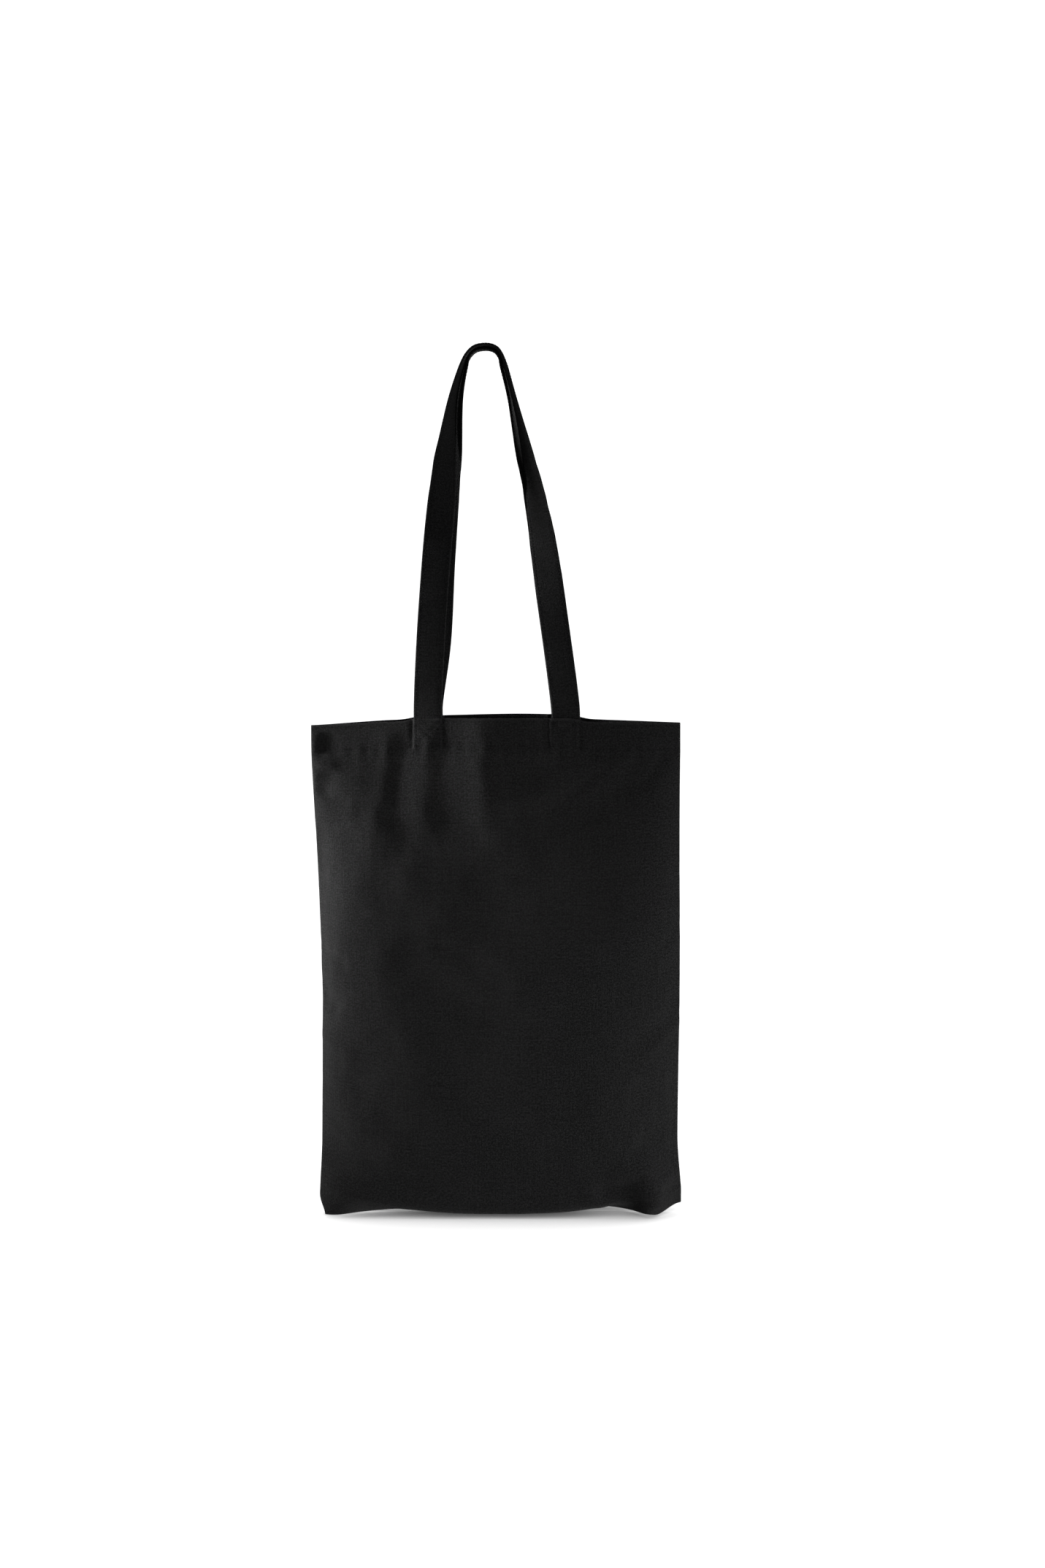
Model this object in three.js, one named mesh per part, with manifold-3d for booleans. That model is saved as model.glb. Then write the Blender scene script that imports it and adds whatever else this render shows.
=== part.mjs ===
// A canvas tote bag standing on its base: two panels sewn together at the sides and the
// bottom, a turned and double-stitched hem round the mouth, and two long flat handles
// whose ends are box-stitched inside the hem. The handles stand up together, and each
// turns a quarter, the two in opposite ways, so that both lie flat over the same peg.
//
// Millimetres, +Z up, the front faces -Y. The origin is on the ground under the middle.

import * as THREE from "three";
import { mergeVertices } from "three/addons/utils/BufferGeometryUtils.js";
import Module from "manifold-3d";

// ---------- driving dimensions ----------
const hemTop = 454; // top edge of the hem at the handles
const hemSag = 6; // how much lower the top edge is at the side seams
const hemHeight = 25; // the turned-in edge
const halfWidthTop = 166; // middle of the bag to a side seam, at the hem
const halfWidthBase = 161; // the same on the ground
const mouthHalfDepth = 20; // middle plane to the hem's outer face
const canvas = 0.8; // one ply of canvas
const hemPlies = 2.0; // the panel and its turned-in edge, pressed together
const seamSolid = 1.5; // the side seam, where the two panels touch
const seamGap = 0.3; // between the panels, and between touching pieces

const strapWidth = 25;
const strapPlies = 1.8; // a strap is four plies of canvas
const handleX = 62; // middle of the bag to the middle of a handle's leg
const foldGap = 1; // between a handle's sewn end and its free part
const crestHalfY = 6.5; // each handle's crest lies this far in front or behind
const legStep = 3.8; // the back strap lies this far inside the front one up the legs
const twistStep = 5.4; // the same where the straps turn
const crestStep = 4; // the same over the peg

const thread = 0.5; // diameter of the sewing thread
const threadGap = 0.2; // between a thread and the cloth that it lies on
const edgeRow = 2.5; // from a strap's edge to the row of stitches along it
const boxStitch = 18.5; // side of the stitched square on a handle's end
const overlockWidth = 7; // seam allowance with its overlocked edge

// ---------- materials ----------
const finish = (color, roughness) =>
  new THREE.MeshStandardMaterial({ color, roughness, metalness: 0 });
const canvasCloth = finish(0x1c1c1c, 0.92);
const strapCloth = finish(0x1a1a1a, 0.9);
const sewingThread = finish(0x222222, 0.75);

// ---------- small helpers ----------
const bag = new THREE.Group();

function add(name, geometry, material) {
  const mesh = new THREE.Mesh(geometry, material);
  mesh.name = name;
  bag.add(mesh);
  return mesh;
}

/** Moves every vertex of a geometry with place(vertex). */
function carry(geometry, place) {
  const at = geometry.getAttribute("position");
  const p = new THREE.Vector3();
  for (let i = 0; i < at.count; i++) {
    place(p.fromBufferAttribute(at, i), i);
    at.setXYZ(i, p.x, p.y, p.z);
  }
  geometry.computeVertexNormals();
  return geometry;
}

const wasm = await Module();
wasm.setup();

function solid(geometry) {
  const bare = geometry.clone();
  bare.deleteAttribute("normal");
  bare.deleteAttribute("uv");
  const merged = mergeVertices(bare, 1e-4);
  return new wasm.Manifold(
    new wasm.Mesh({
      numProp: 3,
      vertProperties: merged.getAttribute("position").array,
      triVerts: new Uint32Array(merged.index.array),
    }),
  );
}

function geometryOf(manifold) {
  const { vertProperties, triVerts, numProp } = manifold.getMesh();
  const geometry = new THREE.BufferGeometry();
  const points = new THREE.InterleavedBuffer(vertProperties, numProp);
  geometry.setAttribute("position", new THREE.InterleavedBufferAttribute(points, 3, 0));
  geometry.setIndex(new THREE.BufferAttribute(triVerts, 1));
  geometry.computeVertexNormals();
  return geometry;
}

// ---------- the bag's outline ----------
// Half the side view, from the ground to the foot of the hem: depth, height.
const sideView = new THREE.SplineCurve(
  [
    [27, 0],
    [33.5, 6],
    [37, 50],
    [38, 135],
    [32, 280],
    [mouthHalfDepth, hemTop - hemHeight],
  ].map(([depth, height]) => new THREE.Vector2(depth, height)),
);
const crossSteps = 14; // flats across one panel
const sideSteps = 15; // rings from the ground to the hem

const halfWidth = (height) =>
  THREE.MathUtils.lerp(halfWidthBase, halfWidthTop, height / hemTop);

/** Depth of a panel at a share u of its half width, as a share of its greatest depth. */
const lens = (u, height) =>
  1 - Math.abs(u) ** THREE.MathUtils.lerp(2.6, 2, Math.min(1, height / hemTop));

/** The closed outline of the bag at one height: front from left to right, then back. */
function ring(height, depth, width = halfWidth(height)) {
  const points = [];
  for (let i = 0; i < 2 * crossSteps; i++) {
    const front = i < crossSteps;
    const u = front ? (2 * i) / crossSteps - 1 : 3 - (2 * i) / crossSteps;
    const y = depth * lens(u, height) * (front ? -1 : 1);
    const sag = (hemSag * Math.abs(u) ** 2.5 * height) / hemTop;
    points.push(new THREE.Vector3(u * width, y, height - sag));
  }
  return points;
}

/** A closed body through a stack of outlines with the same number of points. */
function loft(rings) {
  const n = rings[0].length;
  const position = rings.flat().flatMap((p) => [p.x, p.y, p.z]);
  const index = [];
  for (let k = 0; k + 1 < rings.length; k++)
    for (let i = 0; i < n; i++) {
      const [a, b] = [k * n + i, k * n + ((i + 1) % n)];
      index.push(a, b, b + n, a, b + n, a + n);
    }
  const cap = (points, base, flip) => {
    const flat = points.map((p) => new THREE.Vector2(p.x, p.y));
    for (const [a, b, c] of THREE.ShapeUtils.triangulateShape(flat, []))
      index.push(base + a, base + (flip ? c : b), base + (flip ? b : c));
  };
  cap(rings[0], 0, true);
  cap(rings.at(-1), position.length / 3 - n, false);
  return new THREE.BufferGeometry()
    .setAttribute("position", new THREE.Float32BufferAttribute(position, 3))
    .setIndex(index);
}

/** Outlines from the ground (or lift above it) to the top, inset by a wall. */
function bodyRings(wall, lift) {
  return sideView
    .getPoints(sideSteps)
    .map((p) =>
      ring(
        Math.max(p.y, 0) + lift * (1 - p.y / hemTop),
        p.x - wall,
        halfWidth(p.y) - (wall ? seamSolid : 0),
      ),
    );
}

// ---------- panels ----------
const outside = loft([
  ...bodyRings(0, 0),
  ring(hemTop - hemHeight / 2, mouthHalfDepth),
  ring(hemTop, mouthHalfDepth),
]);
const inside = loft(bodyRings(canvas, canvas));
const hemInside = loft(
  [hemTop - hemHeight - 0.5, hemTop + 10].map((height) =>
    ring(height, mouthHalfDepth - hemPlies, halfWidth(height) - 2 * seamSolid),
  ),
);
const shell = solid(outside).subtract(solid(inside)).subtract(solid(hemInside));

function halfSpace(side) {
  const deep = 100;
  const block = new THREE.BoxGeometry(500, deep, 1200);
  block.translate(0, side * (deep / 2 + seamGap / 2), 0);
  return solid(block);
}

for (const [name, side] of [
  ["front_panel", -1],
  ["back_panel", 1],
])
  add(name, geometryOf(shell.intersect(halfSpace(side))), canvasCloth);

// ---------- seam allowances with overlocked edges, inside the bag ----------
const overlockPlies = 1; // two plies squeezed by the overlock thread

function sideOverlock(name, side) {
  const [low, high] = [6, hemTop - hemHeight - 6];
  const strip = new THREE.BoxGeometry(overlockWidth, overlockPlies, high - low, 1, 1, 6);
  strip.translate(0, 0, (high + low) / 2);
  const outerEdge = seamSolid + 4;
  const x = (z) => side * (halfWidth(z) - outerEdge - overlockWidth / 2);
  add(
    name,
    carry(strip, (p) => p.setX(p.x + x(p.z))),
    sewingThread,
  );
}
sideOverlock("left_seam_overlock", -1);
sideOverlock("right_seam_overlock", 1);

const bottomOverlock = new THREE.BoxGeometry(288, overlockPlies, overlockWidth);
bottomOverlock.translate(0, 0, canvas + seamGap + overlockWidth / 2);
add("bottom_seam_overlock", bottomOverlock, sewingThread);

// ---------- stitch rows round the hem ----------
/** A closed thread that follows the bag's outline at one height, just outside it. */
function threadRing(name, height) {
  const depth = mouthHalfDepth;
  const line = ring(height, depth);
  const n = line.length;
  const sides = 4;
  const torus = new THREE.TorusGeometry(1, thread / 2, sides, n);
  const uv = torus.getAttribute("uv");
  carry(torus, (p, i) => {
    const k = Math.round(uv.getX(i) * n) % n;
    const round = uv.getY(i) * 2 * Math.PI;
    const away = new THREE.Vector3();
    for (const [a, b] of [
      [k - 1, k],
      [k, k + 1],
    ]) {
      const edge = line[(b + n) % n].clone().sub(line[(a + n) % n]);
      away.add(new THREE.Vector3(edge.y, -edge.x, 0).normalize());
    }
    away.normalize();
    const off = threadGap + thread / 2 + (thread / 2) * Math.cos(round);
    p.copy(line[k]).addScaledVector(away, off);
    p.z += (thread / 2) * Math.sin(round);
  });
  add(name, torus, sewingThread);
}
threadRing("hem_lower_stitching", hemTop - hemHeight + 2);
threadRing("hem_top_stitching", hemTop - 2);

// ---------- handle ends inside the hem, with their box stitching outside it ----------
const hemLens = (x) => lens(x / halfWidth(hemTop), hemTop);
const hemTurn = Math.atan((2 * mouthHalfDepth * handleX) / halfWidth(hemTop) ** 2);
const endTop = hemTop + 1; // where the strap leaves the hem
const endHeight = hemHeight;

/** How far a handle's middle ply is from the bag's middle plane, inside the hem. */
const endDepth =
  mouthHalfDepth * hemLens(handleX) - hemPlies - seamGap - strapPlies / 2 - 0.2;

/** A square with both diagonals, drawn in thread. */
function boxStitchShape() {
  const r = boxStitch / 2;
  const inner = r - thread;
  const cut = thread * 0.75; // half of a diagonal's width, measured along the sides
  const shape = new THREE.Shape(
    [
      [-r, -r],
      [r, -r],
      [r, r],
      [-r, r],
    ].map(([x, y]) => new THREE.Vector2(x, y)),
  );
  for (let quarter = 0; quarter < 4; quarter++) {
    const corners = [
      [0, cut],
      [inner - cut, inner],
      [cut - inner, inner],
    ].map(([x, y]) =>
      new THREE.Vector2(x, y).rotateAround(new THREE.Vector2(), (quarter * Math.PI) / 2),
    );
    shape.holes.push(new THREE.Path(corners));
  }
  return shape;
}

function handleEnd(name, stitchName, x, side) {
  const yaw = -side * Math.sign(x) * hemTurn;
  const end = new THREE.BoxGeometry(strapWidth, strapPlies, endHeight);
  end.rotateZ(yaw);
  end.translate(x, side * endDepth, endTop - endHeight / 2);
  add(name, end, strapCloth);

  const stitch = new THREE.ExtrudeGeometry(boxStitchShape(), {
    depth: thread,
    bevelEnabled: false,
  });
  stitch.rotateX(Math.PI / 2);
  if (side > 0) stitch.rotateZ(Math.PI);
  stitch.rotateZ(yaw);
  const outFace = mouthHalfDepth * hemLens(x) + threadGap + 0.2;
  stitch.translate(x, side * outFace, hemTop - hemHeight / 2 - 0.3);
  add(stitchName, stitch, sewingThread);
}
for (const [face, side] of [
  ["front", -1],
  ["back", 1],
])
  for (const [hand, x] of [
    ["left", -handleX],
    ["right", handleX],
  ])
    handleEnd(`${face}_handle_${hand}_end`, `${face}_${hand}_box_stitch`, x, side);

// ---------- handles ----------
const legFoot = endTop + foldGap; // where a handle's free part starts
// The outer strap's middle line as seen from the front: x, height above the hem. The
// peg that it was bent over is a little to the left of the middle.
const archPoints = [
  [-handleX, legFoot - hemTop],
  [-61.9, 11],
  [-59.4, 68],
  [-53.8, 146],
  [-48.4, 203],
  [-44.6, 242],
  [-38.3, 288],
  [-31, 314],
  [-26.4, 324.5],
  [-20, 330.5],
  [-12, 332.4],
  [-5, 332],
  [0, 329.5],
  [3.3, 324.5],
  [6.6, 314],
  [13.2, 288],
  [22.8, 249],
  [36.3, 185],
  [50.5, 94],
  [61.6, 11],
  [handleX, legFoot - hemTop],
].map(([x, height]) => [x, hemTop + height]);
const crestZ = Math.max(...archPoints.map(([, z]) => z));
const crestX = archPoints.find(([, z]) => z === crestZ)[0];
const lengthSteps = 54; // steps along one strap
// The shares of the rise between which each leg makes its quarter turn.
const leftTwist = [0.42, 1];
const rightTwist = [0.15, 0.9];

/** Where a strap is at a share t of its length, and the way that it faces there. */
function strapFrame(curve, t, side) {
  const at = curve.getPoint(t);
  const along = curve.getTangent(t);
  const sideways = new THREE.Vector3(along.z, 0, -along.x).multiplyScalar(-side).normalize();
  const rise = (at.z - legFoot) / (crestZ - legFoot);
  const twist = at.x < crestX ? leftTwist : rightTwist;
  const turn = (Math.PI / 2) * THREE.MathUtils.smoothstep(rise, ...twist);
  const yaw = -side * Math.sign(at.x) * hemTurn;
  const atHem = new THREE.Vector3(Math.sin(yaw), -Math.cos(yaw), 0);
  const level = THREE.MathUtils.clamp(rise * 8, 0, 1);
  const flat = atHem.lerp(new THREE.Vector3(0, -1, 0), level);
  const face = flat
    .addScaledVector(along, -flat.dot(along))
    .normalize()
    .multiplyScalar(Math.cos(turn))
    .addScaledVector(sideways, Math.sin(turn))
    .normalize();
  const across = new THREE.Vector3().crossVectors(face, along).normalize();
  return { at, across, face };
}

/** Bends a straight bar (X across, Y out of the strap's face, Z along) onto a strap. */
function onStrap(curve, bar, side) {
  return carry(bar, (p) => {
    const { at, across, face } = strapFrame(curve, p.z + 0.5, side);
    const { x, y } = p;
    p.copy(at).addScaledVector(across, x).addScaledVector(face, y);
  });
}

/** How far the back strap lies inside the front one at a share of the rise. */
const insideStep = (rise) =>
  legStep * THREE.MathUtils.smoothstep(rise, 0.03, 0.4) +
  (twistStep - legStep) * THREE.MathUtils.smoothstep(rise, 0.5, 0.72) -
  (twistStep - crestStep) * THREE.MathUtils.smoothstep(rise, 0.92, 1);

/** The middle line of a handle; the back one lies inside the front one at the peg. */
function handleCurve(side) {
  const last = archPoints.length - 1;
  const flat = new THREE.CatmullRomCurve3(
    archPoints.map(([x, z]) => new THREE.Vector3(x, 0, z)),
  );
  return new THREE.CatmullRomCurve3(
    archPoints.map(([x, z], i) => {
      const rise = (z - legFoot) / (crestZ - legFoot);
      const along = flat.getTangent(i / last);
      const depth = THREE.MathUtils.lerp(endDepth, crestHalfY, rise);
      const step = side > 0 ? insideStep(rise) : 0;
      return new THREE.Vector3(x + along.z * step, side * depth, z - along.x * step);
    }),
  );
}

for (const [name, side] of [
  ["front_handle", -1],
  ["back_handle", 1],
]) {
  const curve = handleCurve(side);
  const bar = new THREE.BoxGeometry(strapWidth, strapPlies, 1, 3, 1, lengthSteps);
  const rowAt = strapWidth / 2 - edgeRow;
  carry(bar, (p) => {
    if (Math.abs(p.x) < strapWidth / 4) p.x = Math.sign(p.x) * rowAt;
  });
  add(name, onStrap(curve, bar, side), strapCloth);
  for (const [edge, across] of [
    ["inner", -rowAt],
    ["outer", rowAt],
  ]) {
    const row = new THREE.BoxGeometry(thread, thread, 1, 1, 1, lengthSteps);
    row.translate(across, strapPlies / 2 + threadGap + thread / 2, 0);
    add(`${name}_${edge}_edge_stitching`, onStrap(curve, row, side), sewingThread);
  }
}

export default bag;
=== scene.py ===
import math

import bpy
import numpy as np
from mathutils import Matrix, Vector, noise


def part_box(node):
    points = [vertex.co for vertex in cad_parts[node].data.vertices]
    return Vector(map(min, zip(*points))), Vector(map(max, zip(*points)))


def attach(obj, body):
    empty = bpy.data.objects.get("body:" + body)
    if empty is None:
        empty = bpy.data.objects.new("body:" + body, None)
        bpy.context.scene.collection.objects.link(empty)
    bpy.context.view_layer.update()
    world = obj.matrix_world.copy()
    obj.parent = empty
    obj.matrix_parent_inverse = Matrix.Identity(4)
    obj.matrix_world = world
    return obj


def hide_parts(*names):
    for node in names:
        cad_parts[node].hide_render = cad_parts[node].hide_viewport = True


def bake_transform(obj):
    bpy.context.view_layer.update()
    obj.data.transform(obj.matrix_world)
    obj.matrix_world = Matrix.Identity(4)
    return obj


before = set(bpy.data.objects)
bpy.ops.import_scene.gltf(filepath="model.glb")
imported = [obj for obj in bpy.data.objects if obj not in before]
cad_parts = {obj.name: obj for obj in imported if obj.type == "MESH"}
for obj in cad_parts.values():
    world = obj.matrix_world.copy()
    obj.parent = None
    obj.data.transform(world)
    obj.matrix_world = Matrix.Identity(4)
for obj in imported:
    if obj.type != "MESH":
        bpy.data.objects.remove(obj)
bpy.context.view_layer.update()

scene = bpy.context.scene
print("frame loaded:", len(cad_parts), "nodes")

mm = 0.001
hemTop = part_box("front_panel")[1].z
endLow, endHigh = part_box("front_handle_left_end")
handleX = -(endLow.x + endHigh.x) / 2


# camera, floor and light
view = {
    "place": (23 * mm, -2.4, 0.627),
    "aim": (23 * mm, 0, 0.394),
    "lens": 61.2,
}
studio = {
    "floorSize": 60,
    "floorWhite": 0.85,
    "floorGlow": 1.22,  # lifts the paper to white where the camera sees it
    "skyLight": 0.11,  # how strongly the white room lights the bag
    "paintedShadowReach": 0.11,  # metres round the foot where a painted contact shadow darkens the paper's glow
    "skySeen": 1.3,  # how bright the room looks
    # name, place, aim, width, height, watts, how wide its grid lets the light out in degrees
    "softLights": [
        ("keyHigh", (-2.2, 0, 0.62), (0, 0, 0.42), 1.0, 0.3, 3.1, 17),
        ("keyLow", (-2.2, 0.12, 0.3), (0, 0, 0.2), 1.0, 0.3, 1.9, 24),
        ("fillRight", (2.2, -0.9, 0.3), (0, 0, 0.15), 1.0, 0.5, 1.9, 60),
        ("fillFront", (1.6, -1.6, 0.2), (0.05, 0, 0.05), 0.8, 0.4, 1.35, 34),
        ("fillBack", (0.8, 2.2, 0.5), (0, 0, 0.25), 0.8, 0.4, 1.5, 40),
    ],
}


def aimAt(thing, target):
    way = Vector(target) - thing.location
    thing.rotation_euler = way.to_track_quat("-Z", "Y").to_euler()


def makeStudio():
    camera = bpy.data.objects.new("camera", bpy.data.cameras.new("camera"))
    camera.location = view["place"]
    camera.data.lens = view["lens"]
    camera.data.sensor_width = 36
    aimAt(camera, view["aim"])
    scene.collection.objects.link(camera)
    scene.camera = camera

    for name, place, aim, width, height, watts, grid in studio["softLights"]:
        lamp = bpy.data.lights.new(name, "AREA")
        lamp.shape = "RECTANGLE"
        lamp.size = width
        lamp.size_y = height
        lamp.energy = watts
        lamp.spread = math.radians(grid)
        holder = bpy.data.objects.new(name, lamp)
        holder.location = place
        aimAt(holder, aim)
        scene.collection.objects.link(holder)

    half = studio["floorSize"] / 2
    corners = [(-half, -half, 0), (half, -half, 0), (half, half, 0), (-half, half, 0)]
    floor = addMesh("floor", corners, [(0, 1, 2, 3)])
    white = bpy.data.materials.new("floorPaper")
    white.use_nodes = True
    paper = white.node_tree.nodes["Principled BSDF"]
    paper.inputs["Base Color"].default_value = (*[studio["floorWhite"]] * 3, 1)
    paper.inputs["Roughness"].default_value = 0.9
    paper.inputs["Specular IOR Level"].default_value = 0.1
    nodes = white.node_tree.nodes
    links = white.node_tree.links
    seen = nodes.new("ShaderNodeLightPath")  # only the camera sees the glow
    glow = nodes.new("ShaderNodeMath")
    glow.operation = "MULTIPLY"
    glow.inputs[1].default_value = studio["floorGlow"]
    # painted contact shadow: ambient occlusion round the bag dims the glow that the camera sees
    shade = nodes.new("ShaderNodeAmbientOcclusion")
    shade.inputs["Distance"].default_value = studio["paintedShadowReach"]
    shaded = nodes.new("ShaderNodeMath")
    shaded.operation = "MULTIPLY"
    links.new(seen.outputs["Is Camera Ray"], glow.inputs[0])
    links.new(glow.outputs[0], shaded.inputs[0])
    links.new(shade.outputs["AO"], shaded.inputs[1])
    links.new(shaded.outputs[0], paper.inputs["Emission Strength"])
    paper.inputs["Emission Color"].default_value = (1, 1, 1, 1)
    floor.data.materials.append(white)

    room = bpy.data.worlds.new("whiteRoom")
    scene.world = room
    room.use_nodes = True
    nodes = room.node_tree.nodes
    links = room.node_tree.links
    sky = nodes["Background"]
    ray = nodes.new("ShaderNodeLightPath")
    strength = nodes.new("ShaderNodeMapRange")
    strength.inputs["To Min"].default_value = studio["skyLight"]
    strength.inputs["To Max"].default_value = studio["skySeen"]
    sky.inputs["Color"].default_value = (1, 1, 1, 1)
    links.new(ray.outputs["Is Camera Ray"], strength.inputs["Value"])
    links.new(strength.outputs["Result"], sky.inputs["Strength"])
    scene.view_settings.view_transform = "Standard"
    print("studio ready")


# mesh helpers
def addMesh(name, points, faces, smooth=True, uvs=None):
    mesh = bpy.data.meshes.new(name)
    mesh.from_pydata([tuple(p) for p in points], [], [tuple(f) for f in faces])
    if uvs is not None:
        layer = mesh.uv_layers.new(name="cloth")
        index = np.empty(len(mesh.loops), int)
        mesh.loops.foreach_get("vertex_index", index)
        layer.data.foreach_set("uv", np.asarray(uvs, np.float32)[index].ravel())
    mesh.validate()
    if smooth:
        mesh.shade_smooth()
    piece = bpy.data.objects.new(name, mesh)
    scene.collection.objects.link(piece)
    return piece


# quads over a grid of points stored row by row; closed joins its last column to the first
def gridFaces(rows, columns, start=0, closed=False, flip=False):
    r = np.arange(rows - 1)[:, None]
    c = np.arange(columns if closed else columns - 1)[None, :]
    a = start + r * columns + c
    b = start + r * columns + (c + 1) % columns
    quads = np.stack([a, a + columns, b + columns, b], -1).reshape(-1, 4)
    return quads[:, ::-1] if flip else quads


def unit(v):
    return v / np.maximum(np.linalg.norm(v, axis=-1, keepdims=True), 1e-12)


def smoothStep(t):
    t = np.clip(t, 0, 1)
    return t * t * (3 - 2 * t)


# 0 below low, 1 above high, and a soft step between them
def fadeIn(value, low, high):
    return smoothStep((value - low) / (high - low))


def bump(d, width):
    return np.exp(-((d / width) ** 2))


# smooth noise from -1 to 1 at each point; size is the length of its lumps
def softNoise(points, size, seed):
    flat = np.asarray(points, float).reshape(-1, 3) / size + seed
    values = [noise.noise(Vector(p)) for p in flat]
    return np.array(values).reshape(np.shape(points)[:-1])


# the bag's cloth: two panels cut flat and sewn, hung from the hem and set on the floor
cut = {
    "width": 340 * mm,  # seam to seam
    "length": 470 * mm,  # top edge to bottom seam
    "hem": 25 * mm,
    "ply": 0.8 * mm,
    "hemPlies": 2.0 * mm,
    "weight": 0.28,  # kg per square metre
}
stand = {
    "mouthDepth": 20 * mm,  # middle plane to the hem
    "hemSag": 2.6 * mm,  # at the side seams, besides what hangs from the handles
    "hemDrop": 3.2 * mm,
    "leftDrop": 2.4 * mm,  # the left corner hangs lower still
    "backRise": 1.6 * mm,  # the back of the mouth stands a little higher
    "hemHalf": 168 * mm,
    "bellyHalf": 167 * mm,
    "leanTop": -1.2 * mm,
    "leanLow": 3.8 * mm,
    "cornerIn": 5 * mm,
    "cornerRise": 7 * mm,  # the right corner's tip stands off the ground
    # how boxy the left and the right half of a panel are at shares of its length: higher is
    # flatter, with a tighter turn in to the seam
    "boxyAt": (0, 0.06, 0.16, 0.25, 0.42, 0.75, 1),
    "front": ((1.2, 1.2, 1.6, 4.5, 9, 8, 6), (3.6, 4, 4.5, 5, 5, 5, 6)),
    "back": ((2.2, 2.2, 2.4, 3, 4, 4.5, 4), (2, 2, 2.2, 2.8, 4, 4.5, 4)),
    # mm of depth and height down the middle of a panel, from the mouth to the bottom seam
    "sideLine": [
        (20, 454), (20.5, 428), (26, 366), (33, 275), (37, 175), (37, 85),
        (35.5, 28), (34, 12), (30.5, 6), (23, 2.4), (11, 1.4), (0, 1.4),
    ],
    # where the foot stands off the floor or sways forward: share of the half width from
    # the middle, how wide, mm up, mm forward
    "footWaves": [
        (-0.94, 0.2, 0, 22),
        (-0.54, 0.12, 0.6, 0),
        (0.56, 0.1, 1.5, -1),
        (0.83, 0.1, 0, 26),
    ],
}
gridStep = 5 * mm
columns = round(cut["width"] / gridStep)
rows = round(cut["length"] / gridStep)


# points at a share of the length of a line through the given points
def alongLine(line, share):
    line = np.asarray(line, float)
    steps = np.linalg.norm(np.diff(line, axis=0), axis=1)
    at = np.concatenate([[0], np.cumsum(steps)]) / steps.sum()
    return np.stack([np.interp(share, at, line[:, k]) for k in (0, 1)], -1)


# the two panels before they settle, as [side, row, column] points
def startShape():
    u = np.linspace(-1, 1, columns + 1)[None, :]
    v = np.linspace(0, 1, rows + 1)[:, None]
    middle = alongLine(stand["sideLine"], v[:, 0]) * mm
    depth = middle[:, :1]
    height = middle[:, 1:]
    low = smoothStep(v / 0.6)
    half = stand["hemHalf"] + (stand["bellyHalf"] - stand["hemHalf"]) * low
    lean = stand["leanTop"] + (stand["leanLow"] - stand["leanTop"]) * low
    tip = fadeIn(u, 0.84, 1) * fadeIn(v, 0.9, 1) * stand["cornerRise"]
    sideHeight = (hemTop - stand["hemSag"]) * (1 - v) + 0.6 * mm
    z = height + (sideHeight - height) * np.abs(u) ** 2.5 + tip
    # the handles hold the mouth up between them
    z = z - stand["hemDrop"] * fadeIn(np.abs(u), 0.38, 0.53) * (1 - v) ** 3
    z = z - stand["leftDrop"] * fadeIn(-u, 0.5, 1) * (1 - v) ** 3
    x = half * u + lean
    # the left corner is rounded off
    x = x + stand["cornerIn"] * fadeIn(-u, 0.8, 1) * fadeIn(v, 0.955, 1)
    panels = []
    for face, way in (("front", -1), ("back", 1)):
        left, right = (np.interp(v, stand["boxyAt"], powers) for powers in stand[face])
        y = depth * (1 - np.abs(u) ** np.where(u < 0, left, right))
        panel = np.stack([x, way * y, z], -1)
        if face == "back":
            panel[..., 2] += stand["backRise"] * bump(u - 0.15, 0.35) * (1 - v) ** 4
        foot = fadeIn(v, 0.82, 1)
        for at, wide, up, ahead in stand["footWaves"]:
            near = bump(u - at, wide) * foot
            panel[..., 2] += up * mm * near
            panel[..., 1] -= ahead * mm * near
        panels.append(panel)
    return np.stack(panels)


settle = {
    "frames": 36,
    "pressure": 0.6,
    "stiffness": 30,
    "bending": 1.2,
    "lumps": 1.6 * mm,
    "lumpSize": 45 * mm,
    "reach": 7 * mm,  # how far a point may move from the start shape
    "footHold": 0.85,
    "footHigh": (15 * mm, 75 * mm),  # held fully below the first, free above the second
    "floorGap": 0.9 * mm,
}


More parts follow.
